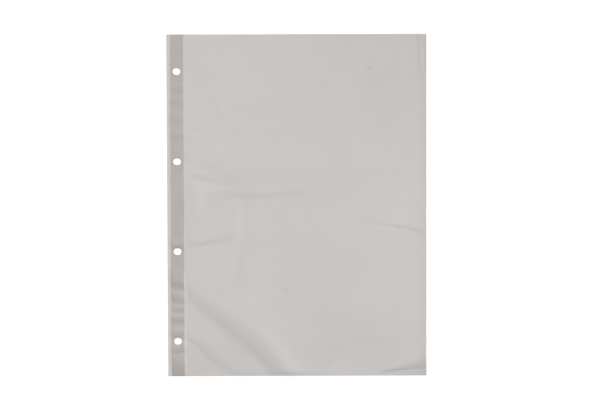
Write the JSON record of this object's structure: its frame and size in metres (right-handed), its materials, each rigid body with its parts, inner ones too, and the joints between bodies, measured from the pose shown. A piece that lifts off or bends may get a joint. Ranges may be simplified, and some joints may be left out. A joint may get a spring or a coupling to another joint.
{
  "type": "punched pocket",
  "caption": "Clear A4 sheet protector, open along the top, with a reinforced binding strip punched with oblong ring holes.",
  "frame": {"origin": "middle of the underside of the pocket, lying flat on its back", "axes": "+X from the punched edge towards the side weld, +Y up the page towards the open mouth, +Z out of the front film"},
  "size_m": [0.2304, 0.304, 0.0002],
  "materials": {
    "film": "finely embossed clear film with a soft gloss",
    "weld": "melted and pressed film, glossy and a little greyer",
    "strip": "dense satin film, warm light grey"
  },
  "bodies": {
    "binding_margin": {"binding_edge_weld": "weld", "margin_back_film_1": "film", "margin_back_film_2": "film", "margin_back_film_3": "film", "margin_back_film_4": "film", "punched_strip": "strip", "margin_front_film": "film"},
    "compartment": {"spine_weld": "weld", "side_weld": "weld", "bottom_weld": "weld", "back_film": "film"},
    "front_panel": {"front_film": "film"}
  },
  "joints": [
    {"name": "page_turn", "type": "hinge", "parent": "binding_margin", "child": "compartment", "pos_m": [-0.10015, 0, 0.00024], "axis": [0, -1, 0], "range_deg": [0, 90]},
    {"name": "mouth_open", "type": "hinge", "parent": "compartment", "child": "front_panel", "pos_m": [0.0078, -0.1482, 0.00024], "axis": [1, 0, 0], "range_deg": [0, 3]}
  ]
}
